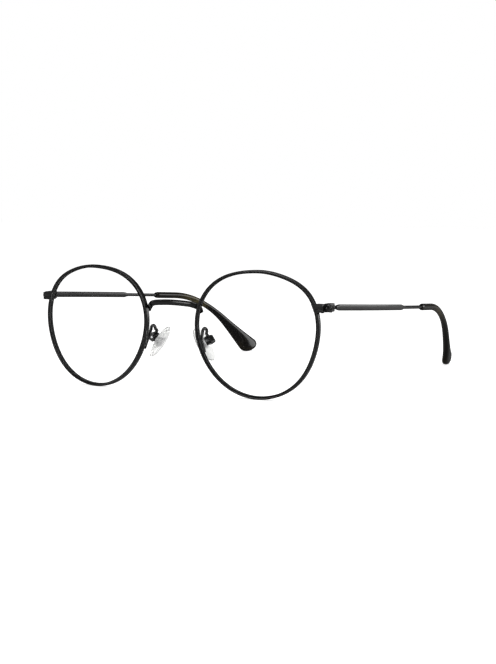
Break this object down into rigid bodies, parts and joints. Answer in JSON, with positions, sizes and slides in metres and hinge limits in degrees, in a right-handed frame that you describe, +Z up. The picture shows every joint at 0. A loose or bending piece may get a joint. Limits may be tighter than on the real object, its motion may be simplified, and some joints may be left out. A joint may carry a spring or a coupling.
{
  "type": "round wire eyeglasses",
  "caption": "Round thin-wire eyeglasses with clear lenses, a bar bridge, screwed clear nose pads, hinged straight temples and bent acetate tips.",
  "frame": {"origin": "centre of the bounding box footprint, on the surface that the rims and the temple tips stand on", "axes": "+X to the wearer's left, +Y from the front towards the temple tips, +Z up"},
  "size_m": [0.1322, 0.1578, 0.0474],
  "materials": {
    "black_metal": "satin black coating on nickel-silver or steel wire",
    "black_screw": "blackened steel screw",
    "steel_screw": "bright steel",
    "tortoise_acetate": "polished dark tortoise acetate",
    "clear_silicone": "clear silicone pad",
    "clear_lens": "clear demonstration lens"
  },
  "bodies": {
    "front": {"eyewire_left": "black_metal", "eyewire_right": "black_metal", "lens_left": "clear_lens", "lens_right": "clear_lens", "bridge": "black_metal", "endpiece_left": "black_metal", "endpiece_right": "black_metal", "lower_block_left": "black_metal", "lower_block_right": "black_metal", "closing_screw_left": "black_screw", "closing_screw_right": "black_screw", "front_hinge_left": "black_metal", "front_hinge_right": "black_metal", "hinge_screw_left": "black_screw", "hinge_screw_right": "black_screw", "pad_arm_left": "black_metal", "pad_arm_right": "black_metal", "pad_box_left": "black_metal", "pad_box_right": "black_metal", "pad_screw_left": "steel_screw", "pad_screw_right": "steel_screw"},
    "left_temple": {"temple_hinge_left": "black_metal", "temple_left": "black_metal", "temple_tip_left": "tortoise_acetate"},
    "right_temple": {"temple_hinge_right": "black_metal", "temple_right": "black_metal", "temple_tip_right": "tortoise_acetate"},
    "left_pad": {"nose_pad_left": "clear_silicone", "pad_mount_left": "steel_screw"},
    "right_pad": {"nose_pad_right": "clear_silicone", "pad_mount_right": "steel_screw"}
  },
  "joints": [
    {"name": "fold_left", "type": "hinge", "parent": "front", "child": "left_temple", "pos_m": [0.06179, -0.0674, 0.03445], "axis": [0, -0.0228, 0.9997], "range_deg": [0, 88]},
    {"name": "fold_right", "type": "hinge", "parent": "front", "child": "right_temple", "pos_m": [-0.06179, -0.0674, 0.03445], "axis": [0, 0.0228, -0.9997], "range_deg": [0, 84]},
    {"name": "rock_left_pad", "type": "hinge", "parent": "front", "child": "left_pad", "pos_m": [0.01236, -0.06911, 0.02023], "axis": [0.0436, 0.9977, 0.0517], "range_deg": [-10, 10]},
    {"name": "rock_right_pad", "type": "hinge", "parent": "front", "child": "right_pad", "pos_m": [-0.01236, -0.06911, 0.02023], "axis": [-0.0436, 0.9977, 0.0517], "range_deg": [-10, 10]}
  ]
}
